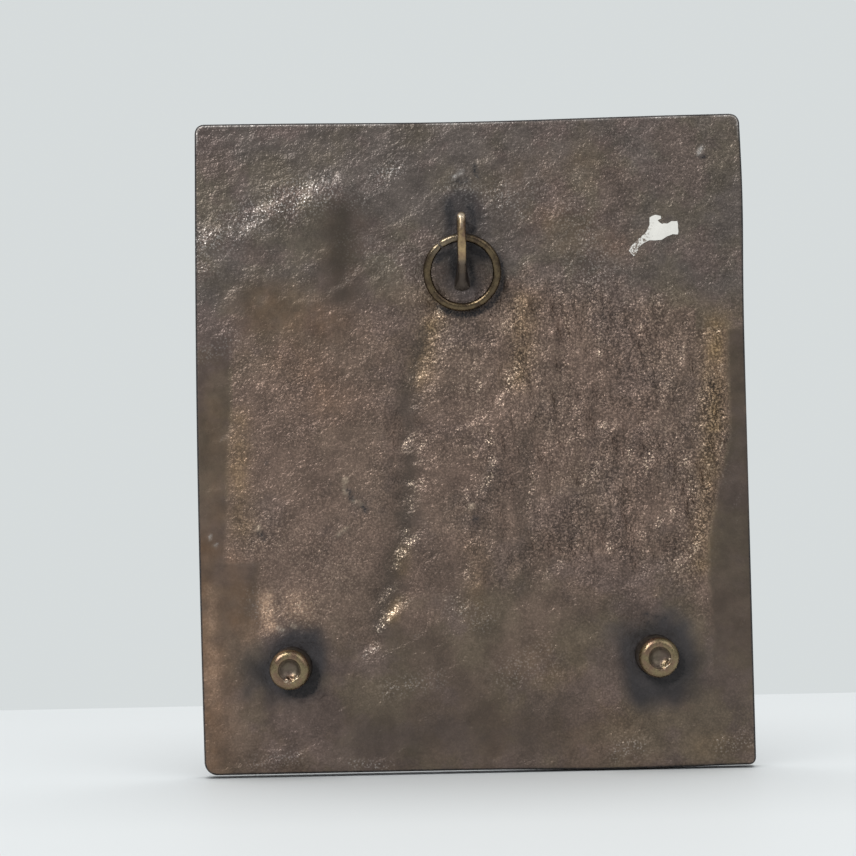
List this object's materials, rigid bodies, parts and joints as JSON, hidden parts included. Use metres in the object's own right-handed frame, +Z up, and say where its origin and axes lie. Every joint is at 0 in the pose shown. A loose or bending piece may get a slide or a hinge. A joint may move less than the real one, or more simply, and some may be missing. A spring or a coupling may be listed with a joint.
{
  "type": "bronze relief plaque",
  "caption": "Cast bronze wall plaque with a low relief of a fruit tree, hung by a swinging brass ring in an eye, with short feet that keep it off the wall.",
  "frame": {"origin": "on the ring's swing line, in the middle of the hanging eye", "axes": "+Z up, +Y out of the wall towards the relief's viewer, -Y towards the wall, +X to the right as seen from the hanging side"},
  "size_m": [0.182, 0.0201, 0.215],
  "materials": {
    "cast_bronze": "dark brown patina, sand-cast grain, heat marks round the brazed pieces",
    "brazed_brass": "golden brown, worn",
    "ring_brass": "golden brown, lightly polished by handling"
  },
  "bodies": {
    "plaque": {"relief_plate": "cast_bronze", "hanging_eye": "brazed_brass", "left_foot": "brazed_brass", "right_foot": "brazed_brass"},
    "ring": {"hanging_ring": "ring_brass"}
  },
  "joints": [
    {"name": "ring_swing", "type": "hinge", "parent": "plaque", "child": "ring", "pos_m": [0, 0, 0], "axis": [-1, 0, 0], "range_deg": [0, 205]}
  ]
}
